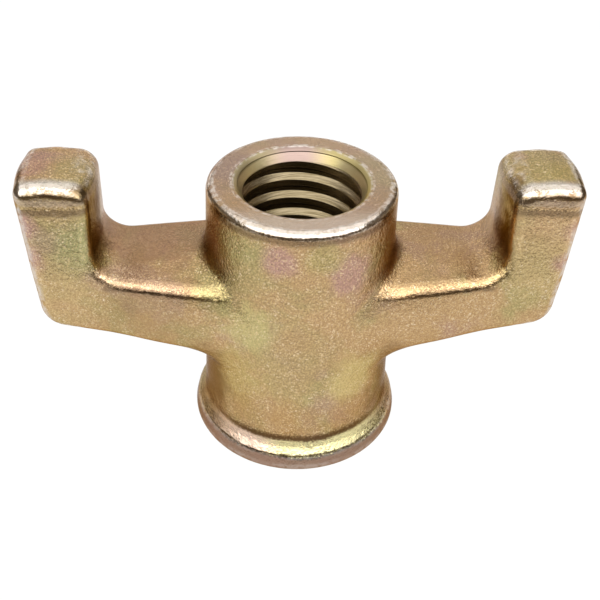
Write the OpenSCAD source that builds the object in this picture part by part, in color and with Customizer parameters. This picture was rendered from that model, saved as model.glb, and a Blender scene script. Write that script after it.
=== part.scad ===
// Two-eared formwork wing nut: a drop-forged steel hub on a round foot, with a
// coarse-threaded bore and two upturned ears to strike or lever it by.
// Millimetres, +Z up the bore, origin at the middle of the foot face, ears along X.
// The forging's parting plane is Y = 0 and every die wall leans away from it.

/* [Hub] */
// Height of the hub from the foot face to the turned top face
hub_height = 55; // [48:0.5:62]
// Radius of the hub just under its rim
hub_top_r = 17.4; // [16:0.1:19]
// Growth of the hub radius from the rim down to the foot
hub_flare = 1.7; // [0.5:0.1:2.2]
// Radius of the rounded rim round the top face
rim_round = 1.5; // [0.8:0.1:2.4]

/* [Foot] */
// Outside radius of the foot ring where it meets the ground
foot_r = 21.5; // [20.8:0.1:23]
// Height of the foot ring at its outside edge
foot_height = 4; // [3.5:0.1:5.5]
// Lean of the ring's outside edge towards the hub, in degrees
foot_lean = 13; // [0:0.5:15]
// Rise of the foot ring's top towards the hub, in degrees
foot_slope = 50; // [40:1:58]
// Rounding along the top edge of the foot ring
foot_top_round = 0.8; // [0.4:0.1:1.4]
// Rounding along the bottom edge of the foot ring
foot_bottom_round = 1.7; // [0.5:0.1:1.8]
// Hollow fillet between the foot ring and the hub
foot_fillet = 3; // [1:0.1:3.2]

/* [Bore] */
// Radius of the bore over the thread crests
bore_r = 10.9; // [9.5:0.05:11.5]
// Radius of the bore mouth in the top face
mouth_r = 12.6; // [12:0.05:13.4]
// Radius where the mouth chamfer meets the plain lead-in
lead_r = 11.75; // [11.6:0.05:11.9]
// Depth of the mouth chamfer
chamfer_depth = 0.7; // [0.3:0.1:1.2]
// Depth from the top face at which the thread starts
lead_depth = 2.4; // [1.6:0.1:4]
// Depth of the chamfer where the bore opens in the foot face
foot_chamfer = 1.4; // [0.6:0.1:2]

/* [Wings] */
// Distance over both ears
span = 101.8; // [98:0.2:108]
// Saddle height at the hub wall, on the parting line
saddle_height = 40.5; // [38:0.2:44]
// Fall of the saddle from the hub to the ear, in degrees
saddle_fall = 1.6; // [0:0.2:6]
// Height of the underside at the outer corner, on the parting line
under_height = 28.6; // [26:0.2:31]
// Fall of the underside from the corner to the hub, in degrees
under_fall = 12; // [6:0.5:16]
// Half thickness of the arm at the elbow
arm_half = 9.8; // [8.5:0.1:11]
// Half thickness of the arm where it runs into the hub
root_half = 13.2; // [11.5:0.1:13.6]
// Swell of the arm's faces at the root, midway between saddle and gusset
root_swell = 1.8; // [0:0.1:2.2]
// Fillet between the saddle and the hub wall
saddle_fillet = 3; // [2:0.1:4]
// Fillet of the gusset under the arm
gusset_fillet = 8; // [6:0.5:14]
// Radius on the parting line of the corner between saddle and ear
elbow_in_r = 4.4; // [3:0.1:6]
// Radius on the parting line of the outer bottom corner
elbow_out_r = 5.6; // [4.8:0.1:7]

/* [Ears] */
// Rise of the ear pads above the top face of the hub
ear_rise = 3.6; // [1:0.1:6]
// Half distance between the ears at the foot of the gap, on the parting line
ear_in_x = 36.9; // [35.5:0.1:38.5]
// Lean of the inner ear wall towards the hub, in degrees
ear_in_lean = 1; // [0:0.5:5]
// Lean of the outer ear edge away from the hub, in degrees
ear_out_lean = 4.2; // [0:0.2:6]
// Half thickness of the ear at its pad
pad_half = 7.6; // [6.8:0.1:8.6]
// Crown of the pad above its corners
pad_crown = 0.3; // [0.1:0.1:0.8]
// Rounding of the pad's inner corner
pad_in_r = 4.2; // [3:0.1:4.6]
// Rounding of the pad's outer corner
pad_out_r = 2.8; // [2.6:0.1:4]

/* [Forging] */
// Draft of the die walls either side of the parting line, in degrees
draft = 7; // [3:0.5:8]
// Rounding along the edges of the arm's front and back faces
edge_round = 1.9; // [1.2:0.1:2.1]
// Rounding along the edges of the ear pad
pad_round = 1.5; // [1:0.1:1.6]

/* [Hidden] */
$fn = 48;
steel = "DarkGoldenrod";
slack = 0.5;
// hub and foot outline
hub_low_r = hub_top_r + hub_flare;
hub_lean = atan(hub_flare / hub_height);
ring_edge = [foot_r - foot_height * tan(foot_lean), foot_height];
// stations of the wing loft, counted segment by segment
root_steps = 8;
arm_steps = 7;
elbow_steps = 8;
wall_steps = 7;
corner_steps = 5;
pad_steps = 2;
round_steps = 5;
face_steps = 3;
// wing outline on the parting plane
root_core_r = (bore_r + hub_top_r) / 2 + 1;
saddle_turn = 74;
gusset_turn = 66;
pad_z = hub_height + ear_rise;
pad_edge_z = pad_z - pad_crown;
elbow_z = saddle_height - (ear_in_x - hub_top_r) * tan(saddle_fall);
ear_out_x = span / 2 - (pad_z - elbow_z) * tan(ear_out_lean);
flare_power = 1.6;
bend_far = 30;

// ---- plane geometry -------------------------------------------------------

// meeting point of two lines, each given by a point and a direction
function cross2(a, b) = a[0] * b[1] - a[1] * b[0];
function meet(p, d, q, e) = p + d * (cross2(q - p, e) / cross2(d, e));
function left_of(d) = [-d[1], d[0]];
function dir(a) = [cos(a), sin(a)];

// centre of the circle of radius r that touches two lines on their left sides
function touch(p, d, q, e, r) =
  meet(p + left_of(d) * r, d, q + left_of(e) * r, e);

// ---- hub and foot ---------------------------------------------------------

hub_side = dir(90 + hub_lean);
ring_side = dir(180 - foot_slope);
rim_centre = touch([hub_low_r, 0], hub_side, [0, hub_height], dir(180), rim_round);
band_side = dir(90 + foot_lean);
sole_centre = touch([0, 0], dir(0), [foot_r, 0], band_side, foot_bottom_round);
ring_centre = touch([foot_r, 0], band_side, ring_edge, ring_side, foot_top_round);
hollow_corner = meet([hub_low_r, 0], hub_side, ring_edge, ring_side);
hollow_centre = touch([hub_low_r, 0], -hub_side, ring_edge, -ring_side, foot_fillet);
hollow_top = hollow_centre + foot_fillet * dir(180 + hub_lean);
hollow_low = hollow_centre - foot_fillet * left_of(-ring_side);

// half outline of the hub: flared shaft with a rounded rim
module hub_outline() {
  union() {
    polygon([
      [0, 0],
      [hub_low_r, 0],
      rim_centre + rim_round * dir(hub_lean),
      rim_centre,
      [rim_centre[0], hub_height],
      [0, hub_height]
    ]);
    translate(rim_centre) circle(r = rim_round);
  }
}

// half outline of the foot ring: rounded edges and a sloping top
module foot_outline() {
  union() {
    polygon([
      [0, 0],
      [sole_centre[0], 0],
      sole_centre,
      sole_centre + foot_bottom_round * dir(foot_lean),
      ring_centre + foot_top_round * dir(foot_lean),
      ring_centre,
      ring_centre + foot_top_round * dir(90 - foot_slope),
      hollow_corner,
      [0, hollow_corner[1]]
    ]);
    translate(sole_centre) circle(r = foot_bottom_round);
    translate(ring_centre) circle(r = foot_top_round);
  }
}

// the hollow fillet that runs from the ring up into the hub
module foot_hollow() {
  difference() {
    polygon([hollow_corner - [slack, slack], hollow_low, hollow_centre, hollow_top]);
    translate(hollow_centre) circle(r = foot_fillet);
  }
}

module hub_and_foot() {
  rotate_extrude() {
    union() {
      hub_outline();
      foot_outline();
      foot_hollow();
    }
  }
}

// thread-crest bore with a turned lead-in above and a chamfer below
module bore() {
  translate([0, 0, -slack]) cylinder(r = bore_r, h = hub_height + 2 * slack);
  rotate_extrude() polygon([
    [0, hub_height - lead_depth],
    [bore_r, hub_height - lead_depth],
    [lead_r, hub_height - chamfer_depth],
    [mouth_r, hub_height],
    [mouth_r, hub_height + slack],
    [0, hub_height + slack]
  ]);
  rotate_extrude() polygon([
    [0, -slack],
    [bore_r + foot_chamfer, -slack],
    [bore_r + foot_chamfer, 0],
    [bore_r, foot_chamfer],
    [0, foot_chamfer]
  ]);
}

// ---- wing outline on the parting plane ------------------------------------

// each station is [x, z, angle of the outward normal]
function line_to(p, q, a, n) =
  [for (k = [0:n - 1]) let (s = k / n) [p[0] + (q[0] - p[0]) * s, p[1] + (q[1] - p[1]) * s, a]];

// arc on a centre c; a hollow corner has its normals towards the centre
function arc_by(c, r, from, to, n, hollow) =
  [for (k = [0:n - 1])
    let (a = from + (to - from) * k / n)
    [c[0] + r * cos(a), c[1] + r * sin(a), hollow ? a + 180 : a]];

// pad from a corner at x up to the crown at its middle
function crown_from(x, n) =
  [for (k = [0:n - 1]) let (s = k / n) [x + (pad_mid - x) * s, pad_edge_z + pad_crown * ease(s), 90]];

saddle_dir = dir(-saddle_fall);
wall_dir = dir(90 + ear_in_lean);
under_dir = dir(under_fall);
edge_dir = dir(90 - ear_out_lean);
hub_wall_r = hub_top_r + hub_flare * (hub_height - saddle_height) / hub_height;
hub_root_r = hub_top_r + hub_flare * (hub_height - under_height / 2) / hub_height;
saddle_p = [hub_wall_r, saddle_height];
wall_p = [ear_in_x, elbow_z];
edge_p = [ear_out_x, elbow_z];
under_p = [ear_out_x, under_height];

// fillet centres, found from the lines they touch
saddle_c = touch([hub_wall_r, 0], dir(-90), saddle_p, saddle_dir, saddle_fillet);
elbow_in_c = touch(saddle_p, saddle_dir, wall_p, wall_dir, elbow_in_r);
pad_in_c = touch(wall_p, -wall_dir, [0, pad_edge_z], dir(180), pad_in_r);
gusset_c = touch([hub_root_r, 0], dir(-90), under_p, -under_dir, gusset_fillet);
elbow_out_c = touch(under_p, under_dir, edge_p, edge_dir, elbow_out_r);
pad_out_c = touch(edge_p, edge_dir, [0, pad_edge_z], dir(180), pad_out_r);
pad_mid = (pad_in_c[0] + pad_out_c[0]) / 2;

function end_of(c, r, a) = [c[0] + r * cos(a), c[1] + r * sin(a)];

// saddle, inner ear wall and the inner half of the pad
inner_line = concat(
  [[root_core_r, saddle_c[1], 90 - saddle_fall - saddle_turn]],
  arc_by(saddle_c, saddle_fillet, 270 - saddle_fall - saddle_turn, 270 - saddle_fall, root_steps, true),
  line_to(
    end_of(saddle_c, saddle_fillet, 270 - saddle_fall),
    end_of(elbow_in_c, elbow_in_r, 270 - saddle_fall),
    90 - saddle_fall, arm_steps),
  arc_by(elbow_in_c, elbow_in_r, 270 - saddle_fall, 360 + ear_in_lean, elbow_steps, true),
  line_to(
    end_of(elbow_in_c, elbow_in_r, 360 + ear_in_lean),
    end_of(pad_in_c, pad_in_r, 180 + ear_in_lean),
    180 + ear_in_lean, wall_steps),
  arc_by(pad_in_c, pad_in_r, 180 + ear_in_lean, 90, corner_steps, false),
  crown_from(pad_in_c[0], pad_steps),
  [[pad_mid, pad_z, 90]]
);

// gusset, underside, outer edge and the outer half of the pad
outer_line = concat(
  [[root_core_r, gusset_c[1], 270 + under_fall + gusset_turn]],
  arc_by(gusset_c, gusset_fillet, 90 + under_fall + gusset_turn, 90 + under_fall, root_steps, true),
  line_to(
    end_of(gusset_c, gusset_fillet, 90 + under_fall),
    end_of(elbow_out_c, elbow_out_r, 270 + under_fall),
    270 + under_fall, arm_steps),
  arc_by(elbow_out_c, elbow_out_r, 270 + under_fall, 360 - ear_out_lean, elbow_steps, false),
  line_to(
    end_of(elbow_out_c, elbow_out_r, -ear_out_lean),
    end_of(pad_out_c, pad_out_r, -ear_out_lean),
    -ear_out_lean, wall_steps),
  arc_by(pad_out_c, pad_out_r, -ear_out_lean, 90, corner_steps, false),
  crown_from(pad_out_c[0], pad_steps),
  [[pad_mid, pad_z, 90]]
);

// ---- wing loft ------------------------------------------------------------

// half thickness: flares towards the hub, tapers up the ear
function flare(x) = pow(max(0, min(1, (ear_in_x - x) / (ear_in_x - hub_top_r))), flare_power);
function up_ear(z) = max(0, z - elbow_z) / (pad_z - elbow_z);
function half_at(x, z) =
  arm_half + (root_half - arm_half) * flare(x) - (arm_half - pad_half) * up_ear(z);
function round_at(z) = edge_round - (edge_round - pad_round) * up_ear(z);

// wraps the root of the wing round the hub
function bend(x) = max(0, min(1, (bend_far - x) / (bend_far - hub_top_r - saddle_fillet)));
function ease(t) = t * t * (3 - 2 * t);
function wrap(p) =
  [p[0] - ease(bend(p[0])) * (p[0] - sqrt(max(0, p[0] * p[0] - p[1] * p[1]))), p[1], p[2]];

// one point across the thickness, at angle a round the edge of the face
function across(s, a, side) =
  let (
    w = half_at(s[0], s[1]),
    r = round_at(s[1]),
    y = w - r + r * cos(a),
    t = r * sin(a) - (r + (w - r) * sin(draft)) / cos(draft)
  )
  [s[0] + t * cos(s[2]), side * y, s[1] + t * sin(s[2])];

// points down the flat of a face between its two edges, swelling at the root
function face_points(s, t, side) =
  let (a = across(s, 0, side), b = across(t, 0, side))
  [for (k = [1:face_steps])
    let (u = k / (face_steps + 1), m = a + (b - a) * u)
    wrap(m + [0, side * root_swell * 4 * u * (1 - u) * flare(m[0]), 0])];

// front face edge, parting line, back face edge
function half_ring(s) = concat(
  [for (k = [0:round_steps]) wrap(across(s, k * (90 - draft) / round_steps, -1))],
  [[s[0], 0, s[1]]],
  [for (k = [round_steps:-1:0]) wrap(across(s, k * (90 - draft) / round_steps, 1))]
);
function backwards(v) = [for (k = [len(v) - 1:-1:0]) v[k]];

// a ring runs across the inner edge, down the back face, across the outer edge
// and up the front face
half_n = 2 * round_steps + 3;
turn_n = half_n + face_steps;
ring_n = 2 * turn_n;
rings = len(inner_line) - 1;
wing_points = concat(
  [for (i = [0:rings - 1])
    each concat(
      half_ring(inner_line[i]),
      face_points(inner_line[i], outer_line[i], 1),
      backwards(half_ring(outer_line[i])),
      face_points(outer_line[i], inner_line[i], -1))],
  half_ring(inner_line[rings])
);

// the last ring folds shut along the middle of the pad
function folded(m) =
  m < half_n ? m : m < turn_n ? half_n - 1 : m < turn_n + half_n ? turn_n + half_n - 1 - m : 0;
function at(i, j) =
  let (m = j % ring_n)
  i < rings ? i * ring_n + m : rings * ring_n + folded(m);
function tri(a, b, c) = a == b || b == c || a == c ? [] : [[a, b, c]];

// the root cap pairs the points down the front with those down the back
function cap_front(k) = at(0, ring_n + round_steps + 1 - k);
function cap_back(k) = at(0, round_steps + 1 + k);

// sides of the loft, then the cap that closes its root inside the hub
wing_faces = concat(
  [for (i = [0:rings - 1], j = [0:ring_n - 1])
    each concat(
      tri(at(i, j), at(i + 1, j + 1), at(i + 1, j)),
      tri(at(i, j), at(i, j + 1), at(i + 1, j + 1)))],
  [for (k = [0:turn_n - 1])
    each concat(
      tri(cap_back(k + 1), cap_back(k), cap_front(k)),
      tri(cap_back(k + 1), cap_front(k), cap_front(k + 1)))]
);

module wing() {
  polyhedron(points = wing_points, faces = wing_faces, convexity = 6);
}

// ---- the forging ----------------------------------------------------------

module wing_nut() {
  color(steel)
    difference() {
      union() {
        hub_and_foot();
        wing();
        rotate([0, 0, 180]) wing();
      }
      bore();
    }
}

wing_nut();
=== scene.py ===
"""Formwork wing nut: a yellow-zinc-plated steel forging with two upturned ears.

One piece. The frame is in metres, +Z up the bore, ears along X, foot on Z = 0.
"""

import math

import bmesh
import bpy
import numpy as np
from mathutils import Matrix, Vector


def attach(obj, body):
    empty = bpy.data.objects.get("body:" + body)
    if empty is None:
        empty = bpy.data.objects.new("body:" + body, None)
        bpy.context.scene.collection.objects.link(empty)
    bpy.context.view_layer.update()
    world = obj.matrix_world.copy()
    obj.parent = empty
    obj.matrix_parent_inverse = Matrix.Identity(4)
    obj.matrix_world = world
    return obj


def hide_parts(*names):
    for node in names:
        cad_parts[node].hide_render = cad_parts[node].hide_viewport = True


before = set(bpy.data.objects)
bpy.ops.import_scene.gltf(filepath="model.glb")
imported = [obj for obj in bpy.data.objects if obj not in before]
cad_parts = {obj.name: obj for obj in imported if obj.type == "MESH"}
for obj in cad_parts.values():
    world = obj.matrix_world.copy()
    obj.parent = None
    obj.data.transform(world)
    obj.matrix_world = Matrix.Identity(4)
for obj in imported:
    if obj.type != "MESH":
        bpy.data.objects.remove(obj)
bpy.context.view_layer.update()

# ---- The forging's blank --------------------------------------------------
# The drop-forged steel body before machining: hub, foot ring and two ears with
# drafted die walls, all edges rounded and the arms run into the hub by fillets.
# It is a distance field in millimetres, skinned with quads set onto its surface.

# the hub and its bore
hub_height, hub_top_r, hub_flare, rim_round = 55.0, 17.4, 1.7, 1.5
bore_r = 10.9
# the foot: a leaning band under a sloped cover; angles in degrees
foot_r, foot_height, foot_lean, foot_slope = 21.5, 4.0, 13.0, 50.0
foot_top_round, foot_bottom_round, foot_hollow = 0.8, 1.7, 2.3
# the arms: saddle line above and belly line below, each falling by some degrees
span, saddle_height, saddle_fall = 101.8, 40.5, 1.6
under_height, under_fall = 28.6, 12.0
arm_half, root_half, pad_half = 9.9, 13.2, 7.75
saddle_fillet, gusset_fillet = 3.0, 8.0
# the swelling of each root: how far out it reaches, and how fast it dies away
root_swell, bend_far, swell_power, edge_inset = 1.8, 30.0, 1.6, 1.6
# the ears: rounds of the elbow and of the pad, and the lean of their two sides
elbow_in_r, elbow_out_r, pad_in_r, pad_out_r = 4.4, 5.6, 4.2, 2.8
ear_rise, ear_in_x, ear_in_lean, ear_out_lean = 3.6, 36.9, 1.0, 4.2
pad_crown, draft = 0.3, 7.0
# the long edges and the parting ridge
edge_round, parting_round = 2.3, 2.0
edge_reach = 0.88 * edge_round
# the hollow where a root meets the hub is wider between two heights, and fades past them
root_hollow, root_hollow_more = 0.6, 1.7
hollow_top, hollow_top_fade, hollow_foot, hollow_foot_fade = 38.5, 5.0, 18.0, 7.0

hub_low_r = hub_top_r + hub_flare
pad_z = hub_height + ear_rise
draft_angle = math.radians(draft)


def tan(degrees):
    return math.tan(math.radians(degrees))


def way(degrees):
    """Unit direction in the parting plane."""
    a = math.radians(degrees)
    return np.array([math.cos(a), math.sin(a)])


def left_of(d):
    return np.array([-d[1], d[0]])


def touch(p, d, q, e, r):
    """Centre of the circle of radius r touching two lines on their left sides."""
    p, q = p + left_of(d) * r, q + left_of(e) * r
    w = q - p
    return p + d * (w[0] * e[1] - w[1] * e[0]) / (d[0] * e[1] - d[1] * e[0])


def arc(c, r, start, end, n=18):
    return [c + r * way(start + (end - start) * k / n) for k in range(n + 1)]


wall_r = hub_top_r + hub_flare * (hub_height - saddle_height) / hub_height
root_r = hub_top_r + hub_flare * (hub_height - under_height / 2) / hub_height
core_r = (bore_r + hub_top_r) / 2
elbow_z = saddle_height - (ear_in_x - hub_top_r) * tan(saddle_fall)
ear_out_x = span / 2 - (pad_z - elbow_z) * tan(ear_out_lean)
pad_edge = np.array([0.0, pad_z - pad_crown])
saddle_p, saddle_d = np.array([wall_r, saddle_height]), way(-saddle_fall)
wall_p, wall_d = np.array([ear_in_x, elbow_z]), way(90 + ear_in_lean)
under_p, under_d = np.array([ear_out_x, under_height]), way(under_fall)
edge_p, edge_d = np.array([ear_out_x, elbow_z]), way(90 - ear_out_lean)
saddle_c = touch(np.array([wall_r, 0]), way(-90), saddle_p, saddle_d, saddle_fillet)
gusset_c = touch(np.array([root_r, 0]), way(-90), under_p, -under_d, gusset_fillet)
elbow_in = touch(saddle_p, saddle_d, wall_p, wall_d, elbow_in_r)
pad_in = touch(wall_p, -wall_d, pad_edge, way(180), pad_in_r)
elbow_out = touch(under_p, under_d, edge_p, edge_d, elbow_out_r)
pad_out = touch(edge_p, edge_d, pad_edge, way(180), pad_out_r)
pad_span = pad_out[0] - pad_in[0]
crown = [
    np.array([pad_in[0] + pad_span * s, pad_edge[1] + pad_crown * math.sin(math.pi * s) ** 1.5])
    for s in np.linspace(0, 1, 13)[1:-1]
]
outline = np.array(
    [np.array([core_r, saddle_c[1]])]
    + arc(saddle_c, saddle_fillet, 180, 270 - saddle_fall)
    + arc(elbow_in, elbow_in_r, 270 - saddle_fall, 360 + ear_in_lean)
    + arc(pad_in, pad_in_r, 180 + ear_in_lean, 90)
    + crown
    + arc(pad_out, pad_out_r, 90, -ear_out_lean)
    + arc(elbow_out, elbow_out_r, -ear_out_lean, under_fall - 90)
    + arc(gusset_c, gusset_fillet, 90 + under_fall, 180)
    + [np.array([core_r, gusset_c[1]])]
)


def outline_distance(x, z):
    """Signed distance in the parting plane to the outline of one wing."""
    best = np.full(x.shape, 1e9)
    inside = np.zeros(x.shape, bool)
    for a, b in zip(outline, np.roll(outline, -1, axis=0)):
        e = b - a
        wx, wz = x - a[0], z - a[1]
        t = np.clip((wx * e[0] + wz * e[1]) / (e @ e), 0, 1)
        best = np.minimum(best, (wx - e[0] * t) ** 2 + (wz - e[1] * t) ** 2)
        if e[1]:
            crossing = ((a[1] > z) != (b[1] > z)) & (wx < wz * e[0] / e[1])
            inside ^= crossing
    return np.sqrt(best) * np.where(inside, -1, 1)


table_step = 0.1
table_x = np.arange(8.0, 56.0, table_step)
table_z = np.arange(-3.0, 63.0, table_step)
table = outline_distance(*np.meshgrid(table_x, table_z, indexing="ij"))


def wing_distance(x, z):
    """The outline distance read off a fine table."""
    u = np.clip((x - table_x[0]) / table_step, 0, len(table_x) - 1.001)
    v = np.clip((z - table_z[0]) / table_step, 0, len(table_z) - 1.001)
    i, j = u.astype(int), v.astype(int)
    u, v = u - i, v - j
    return (table[i, j] * (1 - u) + table[i + 1, j] * u) * (1 - v) + (
        table[i, j + 1] * (1 - u) + table[i + 1, j + 1] * u
    ) * v


def wing_wall(station, y, z):
    """Distance to the drafted die wall that follows the outline, with a rounded parting ridge."""
    depth = np.hypot(y, parting_round) - parting_round
    return wing_distance(station, z) * math.cos(draft_angle) + depth * math.sin(draft_angle)


def round_off(a, b, r):
    """Both, with their shared edge rounded."""
    return np.minimum(np.maximum(a, b), -r) + np.hypot(np.maximum(a + r, 0), np.maximum(b + r, 0))


def run_in(a, b, r):
    """Either, with a hollow fillet where they meet."""
    return np.maximum(np.minimum(a, b), r) - np.hypot(np.maximum(r - a, 0), np.maximum(r - b, 0))


def bend_reach(radius, degrees):
    """How far a round of this radius reaches from a corner that turns by some degrees."""
    return radius * (1 - math.cos(math.radians(degrees)))


def step_up(t):
    """0 to 1 with soft ends."""
    t = np.clip(t, 0, 1)
    return t * t * (3 - 2 * t)


def forging(x, y, z):
    """Distance to the forged skin, negative in the steel."""
    x, y, z = np.broadcast_arrays(x, y, z)
    ax, ay = np.abs(x), np.abs(y)
    rho = np.hypot(x, y)
    lean = math.atan(hub_flare / hub_height)
    side = (rho - hub_low_r + z * hub_flare / hub_height) * math.cos(lean)
    hub = round_off(side, z - hub_height, rim_round)
    band = (rho - foot_r + z * tan(foot_lean)) * math.cos(math.radians(foot_lean))
    slope = math.radians(foot_slope)
    ring_x = foot_r - foot_height * tan(foot_lean)
    cover = (rho - ring_x) * math.sin(slope) + (z - foot_height) * math.cos(slope)
    foot = round_off(band, cover, bend_reach(foot_top_round, 90 - foot_lean - foot_slope))
    body = run_in(hub, foot, bend_reach(foot_hollow, 90 - foot_slope))
    body = round_off(body, -z, bend_reach(foot_bottom_round, 90 + foot_lean))
    # the root of each wing wraps round the hub, so it is measured along the radius there
    station = rho
    for _ in range(3):
        near = step_up((bend_far - station) / (bend_far - hub_top_r - saddle_fillet))
        station = ax + near * (rho - ax)
    swell = np.clip((ear_in_x - station) / (ear_in_x - hub_top_r), 0, 1) ** swell_power
    up = np.clip((z - elbow_z) / (pad_z - elbow_z), 0, 1)
    half = arm_half + (root_half - arm_half) * swell - (arm_half - pad_half) * up
    low = under_height + edge_inset - (ear_out_x - station) * tan(under_fall)
    mid = np.clip((z - low) / (saddle_height - edge_inset - low), 0, 1)
    half = half + root_swell * 4 * mid * (1 - mid) * swell
    wing = round_off(wing_wall(station, ay, z), ay - half, edge_reach)
    below_top = step_up((hollow_top - z) / hollow_top_fade)
    above_foot = step_up((z - hollow_foot) / hollow_foot_fade)
    hollow = root_hollow + root_hollow_more * below_top * above_foot
    return run_in(body, wing, hollow)


def slope_of_skin(x, y, z, step=1e-3):
    """Which way the distance grows, by central differences."""
    return np.stack(
        [
            forging(x + step, y, z) - forging(x - step, y, z),
            forging(x, y + step, z) - forging(x, y - step, z),
            forging(x, y, z + step) - forging(x, y, z - step),
        ],
        axis=1,
    ) / (2 * step)


def skin(name, cell):
    """Quads over the zero surface: one point in each cell it crosses."""
    grid_low = np.array([-52.2, -22.2, -0.7])
    grid_high = np.array([52.2, 22.2, 59.6])
    axes = [np.arange(a, b + cell, cell) for a, b in zip(grid_low, grid_high)]
    field = forging(axes[0][:, None, None], axes[1][None, :, None], axes[2][None, None, :])
    steel = field < 0
    cells = tuple(n - 1 for n in field.shape)
    total, count = np.zeros(cells + (3,)), np.zeros(cells)
    corners = [(i, j, k) for i in (0, 1) for j in (0, 1) for k in (0, 1)]

    def window(grid, c):
        return grid[c[0] : c[0] + cells[0], c[1] : c[1] + cells[1], c[2] : c[2] + cells[2]]

    for c in corners:
        for axis in range(3):
            if c[axis]:
                continue
            e = tuple(1 if n == axis else c[n] for n in range(3))
            fa, fb = window(field, c), window(field, e)
            cross = window(steel, c) != window(steel, e)
            t = np.where(cross, fa / np.where(cross, fa - fb, 1), 0)
            for n in range(3):
                total[..., n] += np.where(cross, c[n] + (t if n == axis else 0), 0)
            count += cross
    used = count > 0
    number = np.full(cells, -1)
    number[used] = np.arange(used.sum())
    place = total[used] / count[used][:, None] + np.argwhere(used)
    points = np.array([a[0] for a in axes]) + place * cell
    faces = []
    for axis in range(3):
        u, v = (axis + 1) % 3, (axis + 2) % 3
        first = [slice(None)] * 3
        second = [slice(None)] * 3
        first[axis], second[axis] = slice(0, -1), slice(1, None)
        a, b = steel[tuple(first)], steel[tuple(second)]
        for flip in (False, True):
            at = np.argwhere((b & ~a) if flip else (a & ~b))
            du, dv = np.eye(3, dtype=int)[u], np.eye(3, dtype=int)[v]
            ring = [at - du - dv, at - dv, at, at - du]
            quad = np.stack([number[tuple(r.T)] for r in ring], axis=1)
            faces.append(quad[:, ::-1] if flip else quad)
    # settle the points onto the true surface, by a short move at most each time
    passes, longest_move, least_slope = 4, 0.3 * cell, 0.2
    for _ in range(passes):
        x, y, z = points.T
        g = slope_of_skin(x, y, z)
        move = g * (forging(x, y, z) / np.maximum((g * g).sum(1), least_slope))[:, None]
        points = points - np.clip(move, -longest_move, longest_move)
    mesh = bpy.data.meshes.new(name)
    mesh.from_pydata((points / 1000).tolist(), [], np.concatenate(faces).tolist())
    obj = bpy.data.objects.new(name, mesh)
    bpy.context.collection.objects.link(obj)
    return obj


coarse_cell, fine_cell = 0.7, 0.58
blank = skin("forged_blank", fine_cell)

# ---- The bore and its thread ----------------------------------------------
# Machined after forging: a turned lead-in and a chamfered mouth, a chamfer at the
# foot, and a coarse right-hand thread whose groove is swept along a helix.

mouth_r, lead_r = 12.6, 11.78
lead_depth, step_depth, mouth_depth, foot_chamfer = 2.4, 1.0, 0.7, 1.4
step_rise, step_width, lead_taper = 0.08, 0.06, 0.04
mouth_chamfer, chamfer_fall, mouth_flare, clear = 0.15, 0.12, 0.12, 1.0
pitch, groove_root_r, groove_at_back = 4.07, 11.9, 45.87
stop_r, overrun = 14.5, 2.0

tool_line = [
    (bore_r + foot_chamfer + clear, -clear),
    (bore_r, foot_chamfer),
    (bore_r, hub_height - lead_depth),
    (lead_r, hub_height - step_depth),
    (lead_r + step_width, hub_height - step_depth + step_rise),
    (lead_r + lead_taper, hub_height - mouth_depth),
    (mouth_r - mouth_chamfer, hub_height - chamfer_fall),
    (mouth_r + mouth_flare, hub_height),
    (mouth_r + mouth_flare, hub_height + clear),
]


def turned(name, line, n=192):
    """A closed turned solid about the bore axis, in millimetres."""
    points, faces = [], []
    for r, z in line:
        for k in range(n):
            a = 2 * math.pi * k / n
            points.append((r * math.cos(a) / 1000, r * math.sin(a) / 1000, z / 1000))
    for i in range(len(line) - 1):
        for k in range(n):
            m = (k + 1) % n
            faces.append((i * n + k, i * n + m, (i + 1) * n + m, (i + 1) * n + k))
    faces.append(tuple(range(n - 1, -1, -1)))
    faces.append(tuple((len(line) - 1) * n + k for k in range(n)))
    mesh = bpy.data.meshes.new(name)
    mesh.from_pydata(points, [], faces)
    obj = bpy.data.objects.new(name, mesh)
    bpy.context.collection.objects.link(obj)
    return obj


drill = turned("bore_tool", tool_line)
stop = turned("thread_stop", [(stop_r, -overrun), (stop_r, hub_height - lead_depth)])

# half of the groove's section, from the bore out to the root: radius and half width
flank = [
    (bore_r - 0.6, 2.0),
    (bore_r, 1.46),
    (bore_r + 0.12, 1.28),
    (bore_r + 0.4, 0.98),
    (groove_root_r - 0.15, 0.6),
    (groove_root_r, 0.4),
]
section = [(r, -h) for r, h in flank] + [(r, h) for r, h in reversed(flank)]
groove = bpy.data.meshes.new("groove_section")
groove.from_pydata(
    [((r - bore_r) / 1000, z / 1000, 0) for r, z in section],
    [(k, (k + 1) % len(section)) for k in range(len(section))],
    [],
)
groove_section = bpy.data.objects.new("groove_section", groove)
bpy.context.collection.objects.link(groove_section)

turns, turns_below_mark, steps_a_turn = 14.75, 12, 96
tree = bpy.data.node_groups.new("thread_groove", "GeometryNodeTree")
for label, kind, value in (
    ("Radius", "NodeSocketFloat", bore_r / 1000),
    ("Turns", "NodeSocketFloat", turns),
    ("Pitch", "NodeSocketFloat", pitch / 1000),
    ("Steps", "NodeSocketInt", steps_a_turn),
):
    socket = tree.interface.new_socket(label, in_out="INPUT", socket_type=kind)
    socket.default_value = value
tree.interface.new_socket("Section", in_out="INPUT", socket_type="NodeSocketObject")
tree.interface.new_socket("Finish", in_out="INPUT", socket_type="NodeSocketMaterial")
tree.interface.new_socket("Geometry", in_out="OUTPUT", socket_type="NodeSocketGeometry")
inputs = tree.nodes.new("NodeGroupInput")
spiral = tree.nodes.new("GeometryNodeCurveSpiral")
rise = tree.nodes.new("ShaderNodeMath")
rise.operation = "MULTIPLY"
upright = tree.nodes.new("GeometryNodeSetCurveNormal")
upright.mode = "Z_UP"
info = tree.nodes.new("GeometryNodeObjectInfo")
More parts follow.
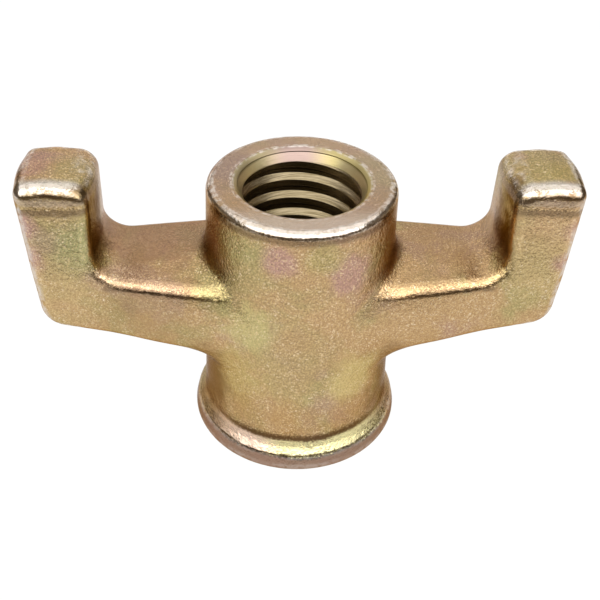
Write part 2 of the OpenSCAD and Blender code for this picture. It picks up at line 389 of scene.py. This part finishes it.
ring = tree.nodes.new("GeometryNodeMeshToCurve")
sweep = tree.nodes.new("GeometryNodeCurveToMesh")
real = tree.nodes.new("GeometryNodeRealizeInstances")
paint = tree.nodes.new("GeometryNodeSetMaterial")
result = tree.nodes.new("NodeGroupOutput")
spiral.inputs["Reverse"].default_value = True
sweep.inputs["Fill Caps"].default_value = True
for source, target in (
    (inputs.outputs["Turns"], rise.inputs[0]),
    (inputs.outputs["Pitch"], rise.inputs[1]),
    (inputs.outputs["Steps"], spiral.inputs["Resolution"]),
    (inputs.outputs["Turns"], spiral.inputs["Rotations"]),
    (inputs.outputs["Radius"], spiral.inputs["Start Radius"]),
    (inputs.outputs["Radius"], spiral.inputs["End Radius"]),
    (rise.outputs[0], spiral.inputs["Height"]),
    (spiral.outputs["Curve"], upright.inputs["Curve"]),
    (upright.outputs["Curve"], sweep.inputs["Curve"]),
    (inputs.outputs["Section"], info.inputs["Object"]),
    (info.outputs["Geometry"], ring.inputs["Mesh"]),
    (ring.outputs["Curve"], sweep.inputs["Profile Curve"]),
    (sweep.outputs["Mesh"], real.inputs["Geometry"]),
    (real.outputs["Geometry"], paint.inputs["Geometry"]),
    (inputs.outputs["Finish"], paint.inputs["Material"]),
    (paint.outputs["Geometry"], result.inputs["Geometry"]),
):
    tree.links.new(source, target)

yellow_zinc = bpy.data.materials.new("yellow_zinc")
carrier = bpy.data.objects.new("groove_carrier", bpy.data.meshes.new("groove_carrier"))
bpy.context.collection.objects.link(carrier)
sweep_step = carrier.modifiers.new("thread_groove", "NODES")
sweep_step.node_group = tree
for item in tree.interface.items_tree:
    if item.in_out == "INPUT" and item.name == "Section":
        sweep_step[item.identifier] = groove_section
    if item.in_out == "INPUT" and item.name == "Finish":
        sweep_step[item.identifier] = yellow_zinc
bpy.context.view_layer.update()
graph = bpy.context.evaluated_depsgraph_get()
swept = bpy.data.meshes.new_from_object(carrier.evaluated_get(graph))
carrier.modifiers.remove(sweep_step)
# the groove's middle passes groove_at_back at the back of the bore, a quarter turn from X
start_z = groove_at_back - pitch / 4 - turns_below_mark * pitch
swept.transform(Matrix.Translation((0, 0, start_z / 1000)))
bm = bmesh.new()
bm.from_mesh(swept)
bmesh.ops.recalc_face_normals(bm, faces=bm.faces)
bm.to_mesh(swept)
bm.free()
thread_tool = bpy.data.objects.new("thread_tool", swept)
bpy.context.collection.objects.link(thread_tool)


def cut(obj, tool, operation):
    """Boolean of two closed solids; the tool is used up."""
    step = obj.modifiers.new(operation, "BOOLEAN")
    step.operation, step.solver, step.object = operation, "MANIFOLD", tool
    bpy.context.view_layer.update()
    made = bpy.data.meshes.new_from_object(obj.evaluated_get(bpy.context.evaluated_depsgraph_get()))
    obj.modifiers.remove(step)
    obj.data = made
    bpy.data.objects.remove(tool)


cut(thread_tool, stop, "INTERSECT")
cut(blank, drill, "DIFFERENCE")
cut(blank, thread_tool, "DIFFERENCE")
bpy.data.objects.remove(carrier)
bpy.data.objects.remove(groove_section)

nut = blank
nut.name = nut.data.name = "wing_nut_forging"
for p in nut.data.polygons:
    p.use_smooth = True

# cut edges in the bore stay crisp, the forged skin stays smooth
machined_r, crisp_angle, same_place = 0.0134, math.radians(24), 2e-8
bm = bmesh.new()
bm.from_mesh(nut.data)
bmesh.ops.remove_doubles(bm, verts=bm.verts, dist=same_place)
bmesh.ops.triangulate(bm, faces=[f for f in bm.faces if len(f.verts) > 4])
bmesh.ops.recalc_face_normals(bm, faces=bm.faces)
for e in bm.edges:
    machined = all(math.hypot(v.co.x, v.co.y) < machined_r for v in e.verts)
    if machined and len(e.link_faces) == 2 and e.calc_face_angle(0) > crisp_angle:
        e.smooth = False
bm.to_mesh(nut.data)
bm.free()

# how sharply each point of the skin curves outward
px, py, pz = (np.array([v.co for v in nut.data.vertices]) * 1000).T
around = 0.3
ridge = -6 * forging(px, py, pz)
for dx, dy, dz in ((around, 0, 0), (0, around, 0), (0, 0, around)):
    ridge += forging(px + dx, py + dy, pz + dz) + forging(px - dx, py - dy, pz - dz)
ridge /= around * around

# the plating is rubbed grey along the ears' outer edges, the pads, the rim and the foot ring; on
# the upper half of each round the same mark is also a painted highlight
rho = np.hypot(px, py)
ears_from_x, pads_from_z = 41.0, 56.0
rim_in_r, rim_out_r, rim_depth, rim_fade = 15.0, 18.0, 1.4, 0.8
foot_edge_r, foot_edge_z, foot_share = 20.0, 4.6, 0.35
rub_and_highlight_width, rub_and_highlight_fade, sharp_from, sharp_over = 1.35, 0.6, 0.2, 0.2
rubbed_and_highlight = np.clip((wing_wall(np.abs(px), py, pz) + rub_and_highlight_width) / rub_and_highlight_fade, 0, 1)
rubbed_and_highlight = np.where((np.abs(px) > ears_from_x) | (pz > pads_from_z), rubbed_and_highlight, 0)
on_rim = (rho < rim_out_r) * (rho > rim_in_r)
rubbed_and_highlight = np.maximum(rubbed_and_highlight, np.clip((pz - hub_height + rim_depth) / rim_fade, 0, 1) * on_rim)
rubbed_and_highlight = np.maximum(rubbed_and_highlight, foot_share * ((pz < foot_edge_z) & (rho > foot_edge_r)))
rubbed_and_highlight = rubbed_and_highlight * np.clip((ridge - sharp_from) / sharp_over, 0, 1)
mouth_clear_r, foot_clear_z = 13.1, 1.0
outside = (rho > mouth_clear_r) | (pz < foot_clear_z)
for label, values in (("ridge", ridge), ("rubbed_and_highlight", rubbed_and_highlight)):
    layer = nut.data.attributes.new(label, "FLOAT", "POINT")
    layer.data.foreach_set("value", np.where(outside, values, 0).astype(np.float32))

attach(nut, "root")
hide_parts("wing_nut")

# ---- Yellow-zinc finish ---------------------------------------------------
# Passivated zinc over a sand-textured forging: tan-gold with olive and mauve clouds, fine grain,
# bright edges that are partly rubbed and partly a painted highlight, painted shade in the hollows
# and painted dark lines under the edges; the turned faces keep tool marks.

tan_gold = (0.54, 0.355, 0.18, 1)
olive = (0.43, 0.36, 0.16, 1)
mauve = (0.47, 0.30, 0.24, 1)
gold = (0.76, 0.56, 0.28, 1)
brown = (0.30, 0.19, 0.09, 1)
fleck_gold = (0.97, 0.82, 0.62, 1)
worn_and_highlight_grey = (0.78, 0.72, 0.66, 1)
rose = (0.52, 0.31, 0.27, 1)
edge_rose = (0.50, 0.30, 0.26, 1)
painted_shade_brown = (0.10, 0.045, 0.014, 1)
painted_shade_umber = (0.20, 0.115, 0.06, 1)
painted_dark_line_brown = (0.13, 0.08, 0.05, 1)

# tints laid round places on the plating, mostly its own colour: place and reach in millimetres,
# strength, colour
spot_tints = (
    (-41, -9.5, 46.5, 8, 0.6, (0.40, 0.42, 0.20, 1)),
    (-46.5, -9, 48, 5, 0.5, mauve),
    (-48, 0, 58.6, 7, 0.8, (0.47, 0.28, 0.25, 1)),
    (-40, -1, 58.6, 6, 0.6, (0.44, 0.35, 0.18, 1)),
    (-11, -14, 46, 9, 0.6, olive),
    (-4.7, -17.4, 48.8, 4.5, 0.85, rose),
    (7.9, -16.2, 44.7, 6, 0.85, rose),
    (-4, -18, 28, 12, 0.5, (0.44, 0.40, 0.17, 1)),
    (44, -9, 43, 9, 0.7, (0.60, 0.45, 0.22, 1)),
    (49.5, -9, 50, 3.5, 0.9, edge_rose),
    (48.5, -9, 43, 3.5, 0.8, edge_rose),
    (47, 0, 58.6, 8, 0.6, (0.40, 0.34, 0.15, 1)),
    (-13, -14, 20, 9, 0.6, (0.56, 0.46, 0.17, 1)),
    (10.5, -16, 21, 8, 0.75, (0.68, 0.56, 0.24, 1)),
    (-49, -9, 51, 3.5, 0.9, (0.48, 0.29, 0.26, 1)),
    (-48.5, -9, 44, 3.5, 0.9, (0.48, 0.29, 0.26, 1)),
    (-10, -16, 33, 7, 0.7, (0.60, 0.55, 0.24, 1)),
    (-2, -18.5, 31, 5, 0.5, (0.58, 0.35, 0.17, 1)),
    (3, -18.5, 50, 5, 0.7, (0.44, 0.38, 0.15, 1)),
    (-12, -13, 50, 7, 0.7, (0.42, 0.39, 0.17, 1)),
    (-14, 4, 55, 9, 0.9, (0.33, 0.20, 0.16, 1)),
    (14, -6, 55, 8, 0.5, mauve),
    # painted shade: these three brown tints lie over the hollow above the foot ring
    (0, -19, 11, 8, 0.5, (0.48, 0.29, 0.11, 1)),
    (-10, -16, 11, 7, 0.5, (0.48, 0.29, 0.12, 1)),
    (10, -16, 11, 7, 0.5, (0.48, 0.29, 0.12, 1)),
    # painted light: these three tan tints brighten the ears' front faces; the next is painted shade
    # on the hub's middle front
    (-45, -9.5, 37, 10, 0.5, (0.62, 0.43, 0.22, 1)),
    (-43, -9, 54, 6, 0.5, (0.62, 0.42, 0.22, 1)),
    (45, -9, 53, 8, 0.5, (0.68, 0.47, 0.26, 1)),
    (0, -18.5, 27, 9, 0.55, (0.46, 0.32, 0.16, 1)),
)

# painted shade: darker in the hollows, under the arms and down the ears' inner walls
painted_shade_spots = [
    (-27, 3, 41, 17, 0.6, (0.30, 0.165, 0.11, 1)),
    (27, 3, 41, 15, 0.35, (0.30, 0.18, 0.10, 1)),
    (-20, -5, 14, 12, 0.8, painted_shade_umber),
    (20, -5, 14, 12, 0.8, painted_shade_umber),
    (-17, -9, 24, 6, 0.6, painted_shade_umber),
    (17, -9, 24, 6, 0.6, painted_shade_umber),
]
for side in (-1, 1):
    painted_shade_spots += [
        (side * 35, -5, 45.5, 5.5, 0.85, painted_shade_brown),
        (side * 35, -4.5, 50, 5.5, 0.85, painted_shade_brown),
        (side * 35, -4.5, 54.5, 5.5, 0.8, painted_shade_brown),
        (side * 35, -1, 47, 5, 0.7, painted_shade_brown),
        (side * 35, -1, 52, 5, 0.7, painted_shade_brown),
    ]
painted_shade_spots.append((-28, -11, 33, 12, 0.35, (0.36, 0.24, 0.11, 1)))

yellow_zinc.use_nodes = True
nt = yellow_zinc.node_tree
nt.nodes.clear()


def node(kind, **settings):
    """A new node in the tree in hand."""
    n = nt.nodes.new(kind)
    for key, value in settings.items():
        setattr(n, key, value)
    return n


def join(a, b):
    nt.links.new(a, b)


def noise(scale, detail, rough, distortion=0.0, vector=None):
    n = node("ShaderNodeTexNoise")
    n.inputs["Scale"].default_value = scale
    n.inputs["Detail"].default_value = detail
    n.inputs["Roughness"].default_value = rough
    n.inputs["Distortion"].default_value = distortion
    join(vector or where.outputs["Object"], n.inputs["Vector"])
    return n.outputs["Fac"]


def ramp(source, low, high):
    """0 at low, 1 at high, smooth between."""
    n = node("ShaderNodeMapRange", interpolation_type="SMOOTHSTEP")
    n.inputs["From Min"].default_value, n.inputs["From Max"].default_value = low, high
    join(source, n.inputs["Value"])
    return n.outputs["Result"]


def calc(kind, a, b=None):
    n = node("ShaderNodeMath", operation=kind)
    for value, slot in ((a, n.inputs[0]), (b, n.inputs[1])):
        if isinstance(value, float):
            slot.default_value = value
        elif value is not None:
            join(value, slot)
    return n.outputs[0]


def times(first, *others):
    for other in others:
        first = calc("MULTIPLY", first, other)
    return first


def blend(factor, a, b):
    """Colour a, with b laid over it."""
    n = node("ShaderNodeMix", data_type="RGBA")
    for value, name in ((factor, "Factor"), (a, "A"), (b, "B")):
        slot = [s for s in n.inputs if s.name == name and s.enabled][0]
        if isinstance(value, (tuple, float)):
            slot.default_value = value
        else:
            join(value, slot)
    return [s for s in n.outputs if s.enabled][0]


def past(source, start, end):
    """0 at start, 1 at end, both in millimetres."""
    return ramp(source, start / 1000, end / 1000)


def between(source, start, full, still, end):
    """0 at start, 1 from full to still, 0 again at end, in millimetres."""
    return times(past(source, start, full), past(source, end, still))


where = node("ShaderNodeTexCoord")
split = node("ShaderNodeSeparateXYZ")
join(where.outputs["Object"], split.inputs["Vector"])
across, depth, up_z = (split.outputs[axis] for axis in "XYZ")
aside = calc("ABSOLUTE", across)

drift = noise(160, 3, 0.6)
grain = noise(3000, 3, 0.65)


def tinted_round(shade, places):
    """The shade with tints laid round these places, each with a wandering edge."""
    for x, y, z, reach, strength, tint in places:
        gap = node("ShaderNodeVectorMath", operation="DISTANCE")
        join(where.outputs["Object"], gap.inputs[0])
        gap.inputs[1].default_value = (x / 1000, y / 1000, z / 1000)
        wander = times(calc("SUBTRACT", drift, 0.5), reach / 700)
        away = calc("ADD", gap.outputs["Value"], wander)
        spot_falloff = calc("SUBTRACT", 1.0, past(away, reach / 3, reach))
        shade = blend(times(spot_falloff, strength), shade, tint)
    return shade


# clouds of colour, then the grain and flecks of the sand-textured skin
shade = blend(ramp(noise(48, 5, 0.6, 0.4), 0.44, 0.62), tan_gold, olive)
shade = blend(times(ramp(noise(62, 4, 0.6, 0.3), 0.52, 0.66), 0.6), shade, mauve)
shade = tinted_round(shade, spot_tints)
shade = blend(times(ramp(grain, 0.5, 0.64), 0.55), shade, gold)
shade = blend(times(ramp(grain, 0.5, 0.36), 0.42), shade, brown)
fleck = times(ramp(noise(3000, 2, 0.5, 1.5), 0.58, 0.7), ramp(noise(170, 3, 0.7), 0.3, 0.62), 0.85)
shade = blend(fleck, shade, fleck_gold)
# last, the painted shade, laid over the grain
shade = tinted_round(shade, painted_shade_spots)

# stains that follow a height, with a ragged edge
ragged = calc(
    "ADD",
    times(calc("SUBTRACT", drift, 0.5), 0.0012),
    times(calc("SUBTRACT", grain, 0.5), 0.0022),
)
height = calc("ADD", up_z, ragged)
foot_front = past(depth, -8, -17)

# a painted highlight on the foot's cover, rosy at the left and yellow at the right, under painted
# dark shade in the hollow above it
cover = between(height, foot_height - 0.3, foot_height + 0.3, foot_height + 2.1, foot_height + 3.4)
cover_painted_highlight = blend(past(across, -9, -3), (1.0, 0.76, 0.62, 1), (1.0, 0.93, 0.50, 1))
shade = blend(times(cover, foot_front, 0.8), shade, cover_painted_highlight)
hollow_painted_shade = between(height, foot_height + 2.2, foot_height + 3.0, foot_height + 3.4, foot_height + 5.0)
shade = blend(times(hollow_painted_shade, foot_front, 0.9), shade, (0.09, 0.045, 0.018, 1))

# the turned top is greyer, and a painted highlight lies pale along the front of the rim and of the
# pads
turned_top = between(height, hub_height - 0.7, hub_height - 0.3, hub_height + 0.6, hub_height + 1.0)
shade = blend(times(turned_top, 0.45), shade, (0.40, 0.33, 0.29, 1))
rim_front_painted_highlight = times(past(height, hub_height - 1.3, hub_height - 0.7), past(depth, -8, -14), 0.7)
shade = blend(rim_front_painted_highlight, shade, (0.64, 0.56, 0.48, 1))
pad_front_painted_highlight = times(past(height, pad_z - 1.8, pad_z - 1.2), past(depth, -4.5, -6), 0.7)
shade = blend(pad_front_painted_highlight, shade, (0.58, 0.55, 0.52, 1))

# a painted dark line, standing in for the dark reflection, lies under the rim, the pads and the
# front edge of each saddle
for low, high in ((hub_height - 2.4, hub_height - 1.2), (pad_z - 2.6, pad_z - 1.6)):
    dark_line_under_edge = times(between(height, low - 0.4, low + 0.4, high, high + 0.4), past(depth, -4.5, -6.5))
    shade = blend(times(dark_line_under_edge, 0.6), shade, painted_dark_line_brown)
saddle_painted_dark_line = between(
    height, saddle_height - 3.5, saddle_height - 2.7, saddle_height - 2.3, saddle_height - 1.9
)
on_arm = times(between(aside, 19.0, 21.5, 35.0, 37.0), past(depth, -6, -9))
shade = blend(times(saddle_painted_dark_line, on_arm, 0.6), shade, painted_dark_line_brown)

# the foot's band is mauve-brown, with a painted dark line along its upper edge
foot_band = between(height, -1.0, 0.8, foot_height - 0.4, foot_height + 0.1)
shade = blend(times(foot_band, 0.85), shade, (0.31, 0.195, 0.155, 1))
foot_painted_dark_line = between(height, foot_height - 0.6, foot_height - 0.3, foot_height - 0.1, foot_height + 0.2)
shade = blend(times(foot_painted_dark_line, foot_front, 0.75), shade, (0.07, 0.06, 0.05, 1))

# rubbed edges in patches, partly real wear and partly a painted highlight on the rounds
patches = times(ramp(noise(650, 5, 0.75), 0.38, 0.56), ramp(noise(90, 3, 0.6), 0.25, 0.5))
rub_and_highlight_mark = node("ShaderNodeAttribute", attribute_name="rubbed_and_highlight")
wear_and_highlight = times(rub_and_highlight_mark.outputs["Fac"], patches, 0.7)
shade = blend(wear_and_highlight, shade, worn_and_highlight_grey)

# turned bore: rings of fine tool marks instead of forged grain
from_axis = calc("POWER", calc("ADD", times(across, across), times(depth, depth)), 0.5)
in_bore = times(past(from_axis, 13.0, 12.7), past(up_z, hub_height + 0.05, hub_height - 0.1))
stretch = node("ShaderNodeVectorMath", operation="MULTIPLY")
join(where.outputs["Object"], stretch.inputs[0])
stretch.inputs[1].default_value = (1, 1, 40)
marks = noise(160, 5, 0.7, 0.0, stretch.outputs["Vector"])
bore_tone = blend(ramp(marks, 0.3, 0.7), (0.18, 0.135, 0.065, 1), (0.50, 0.41, 0.27, 1))
# painted shade: the bore is darker towards its middle, dimming the lit thread bands there
bore_tone = blend(times(past(aside, 11.5, 6.0), 0.55), bore_tone, (0.05, 0.04, 0.02, 1))

# the lead-in runs from olive at the left over pink to yellow, and both sides are made paler as
# painted light
lip = times(past(up_z, hub_height - 2.8, hub_height - 2.2), 0.9)
lead_tone = blend(past(across, -8, -2), (0.42, 0.35, 0.20, 1), (0.37, 0.27, 0.24, 1))
lead_tone = blend(past(across, 1, 7), lead_tone, (0.50, 0.42, 0.19, 1))
lead_sides_painted_light = times(past(aside, 6.0, 9.5), past(up_z, hub_height - 0.9, hub_height - 1.3))
lead_tone = blend(lead_sides_painted_light, lead_tone, (0.85, 0.74, 0.43, 1))
bore_tone = blend(lip, bore_tone, lead_tone)
shade = blend(in_bore, shade, bore_tone)

# a ragged bright ring round the mouth
mouth_ring = times(
    between(from_axis, 12.2, 12.5, 13.0, 13.4),
    past(up_z, hub_height - 0.4, hub_height - 0.1),
    ramp(noise(1100, 4, 0.7), 0.42, 0.6),
    0.7,
)
shade = blend(mouth_ring, shade, (0.80, 0.74, 0.68, 1))

# smoother on the edges, a little duller in the bore and on its lead-in
edges = ramp(node("ShaderNodeAttribute", attribute_name="ridge").outputs["Fac"], 0.2, 0.5)
rough = node("ShaderNodeMapRange")
join(noise(260, 4, 0.6), rough.inputs["Value"])
rough.inputs["To Min"].default_value, rough.inputs["To Max"].default_value = 0.10, 0.18
polish = calc("ADD", rough.outputs["Result"], times(in_bore, 0.08))
polish = calc("ADD", polish, times(in_bore, lip, 0.14))
polish = calc("SUBTRACT", polish, times(edges, 0.02))


def relief(deep, strength, texture, below=None):
    """A bump of this depth in metres, laid over the one below."""
    n = node("ShaderNodeBump")
    n.inputs["Distance"].default_value = deep
    join(strength, n.inputs["Strength"])
    join(texture, n.inputs["Height"])
    if below:
        join(below, n.inputs["Normal"])
    return n.outputs["Normal"]


calm = calc("MAXIMUM", times(in_bore, 0.85), times(edges, 0.6))
grit = relief(0.00022, calc("SUBTRACT", 0.9, calm), noise(1500, 4, 0.65))
tooled = relief(0.00004, times(in_bore, 0.8), marks, grit)
uneven = relief(0.0009, calc("SUBTRACT", 0.45, times(in_bore, 0.45)), noise(150, 3, 0.5), tooled)

# the grazing reflections get a painted tint by side: browner in front and greyer behind, and white
# on the rubbed and highlighted edges
sheen = blend(past(depth, -5, 3), (0.66, 0.48, 0.32, 1), (0.84, 0.74, 0.68, 1))
plated = node("ShaderNodeBsdfPrincipled")
plated.inputs["Metallic"].default_value = 1.0
join(shade, plated.inputs["Base Color"])
join(polish, plated.inputs["Roughness"])
join(blend(wear_and_highlight, sheen, (1, 0.98, 0.95, 1)), plated.inputs["Specular Tint"])
join(uneven, plated.inputs["Normal"])
join(plated.outputs["BSDF"], node("ShaderNodeOutputMaterial").inputs["Surface"])
nut.data.materials.clear()
nut.data.materials.append(yellow_zinc)

# ---- Floor and world ------------------------------------------------------
# A small sheet of white paper under the nut, white to the eye; half of its glow
# shows in the metal. The room behind it is white to the eye and dim in the metal,
# which draws a dark line beside each bright edge.

sheet_size = 0.6
sheet_glow, glow_to_eye, glow_to_metal = 1.05, 0.94, 0.5
room_glow, room_glow_to_metal = 1.0, 0.17
white = (1, 1, 1, 1)
paper_grey = (0.66, 0.66, 0.66, 1)
warm_dusk = (1.0, 0.82, 0.62, 1)


def glow(kind, colour, strength):
    n = node(kind)
    n.inputs["Color"].default_value = colour
    n.inputs["Strength"].default_value = strength
    return n.outputs[0]


def mixed(factor, a, b):
    n = node("ShaderNodeMixShader")
    for source, slot in zip((factor, a, b), n.inputs):
        join(source, slot)
    return n.outputs[0]


scene = bpy.context.scene
bpy.ops.mesh.primitive_plane_add(size=sheet_size, location=(0, 0, 0))
floor = bpy.context.object
floor.name = "floor"
paper = bpy.data.materials.new("white_paper")
paper.use_nodes = True
nt = paper.node_tree
nt.nodes.clear()
matt = node("ShaderNodeBsdfDiffuse")
matt.inputs["Color"].default_value = paper_grey
path = node("ShaderNodeLightPath")
seen = calc(
    "MAXIMUM",
    times(path.outputs["Is Camera Ray"], glow_to_eye),
    times(path.outputs["Is Glossy Ray"], glow_to_metal),
)
lit = glow("ShaderNodeEmission", white, sheet_glow)
join(mixed(seen, matt.outputs[0], lit), node("ShaderNodeOutputMaterial").inputs["Surface"])
floor.data.materials.append(paper)

world = bpy.data.worlds.new("studio")
scene.world = world
world.use_nodes = True
nt = world.node_tree
nt.nodes.clear()
dim = glow("ShaderNodeBackground", warm_dusk, room_glow_to_metal)
bright = glow("ShaderNodeBackground", white, room_glow)
to_eye = node("ShaderNodeLightPath").outputs["Is Camera Ray"]
join(mixed(to_eye, dim, bright), node("ShaderNodeOutputWorld").inputs["Surface"])

# ---- Lamps and camera -----------------------------------------------------
# A wide soft box in front, one overhead and two behind, the second one low, all
# aimed at the nut's middle. The camera looks down at the front, from close by.

aim = Vector((0, 0, 0.03))


def softbox(name, azimuth, elevation, distance, wide, high, watts):
    """A soft light aimed at the nut; azimuth 0 is the front."""
    a, e = math.radians(azimuth), math.radians(elevation)
    back = Vector((math.sin(a) * math.cos(e), -math.cos(a) * math.cos(e), math.sin(e)))
    data = bpy.data.lights.new(name, "AREA")
    data.shape, data.size, data.size_y, data.energy = "RECTANGLE", wide, high, watts
    lamp = bpy.data.objects.new(name, data)
    lamp.location = aim + back * distance
    lamp.rotation_mode = "QUATERNION"
    lamp.rotation_quaternion = back.to_track_quat("Z", "Y")
    bpy.context.collection.objects.link(lamp)


softbox("front_box", 0, 49, 0.6, 1.7, 0.50, 7.7)
softbox("top_box", 0, 97, 0.6, 1.4, 0.5, 2.7)
softbox("back_wall", 180, 38, 0.9, 1.6, 0.5, 2.15)
softbox("low_back", 180, 6, 0.9, 1.4, 0.2, 1.3)

eye = Vector((-0.008952, -0.140239, 0.139793))
target = Vector((0.000375, -0.000025, 0.027328))
roll, focal_length, sensor = math.radians(2.189), 54.22, 36
look = (target - eye).normalized()
level = look.cross(Vector((0, 0, 1))).normalized()
upward = level.cross(look)
right = level * math.cos(roll) + upward * math.sin(roll)
up = upward * math.cos(roll) - level * math.sin(roll)
camera = bpy.data.objects.new("camera", bpy.data.cameras.new("camera"))
camera.data.sensor_width, camera.data.lens = sensor, focal_length
camera.data.clip_start, camera.data.clip_end = 0.01, 20
camera.matrix_world = Matrix(
    [
        [right.x, up.x, -look.x, eye.x],
        [right.y, up.y, -look.y, eye.y],
        [right.z, up.z, -look.z, eye.z],
        [0, 0, 0, 1],
    ]
)
bpy.context.collection.objects.link(camera)
scene.camera = camera
scene.view_settings.view_transform = "Standard"
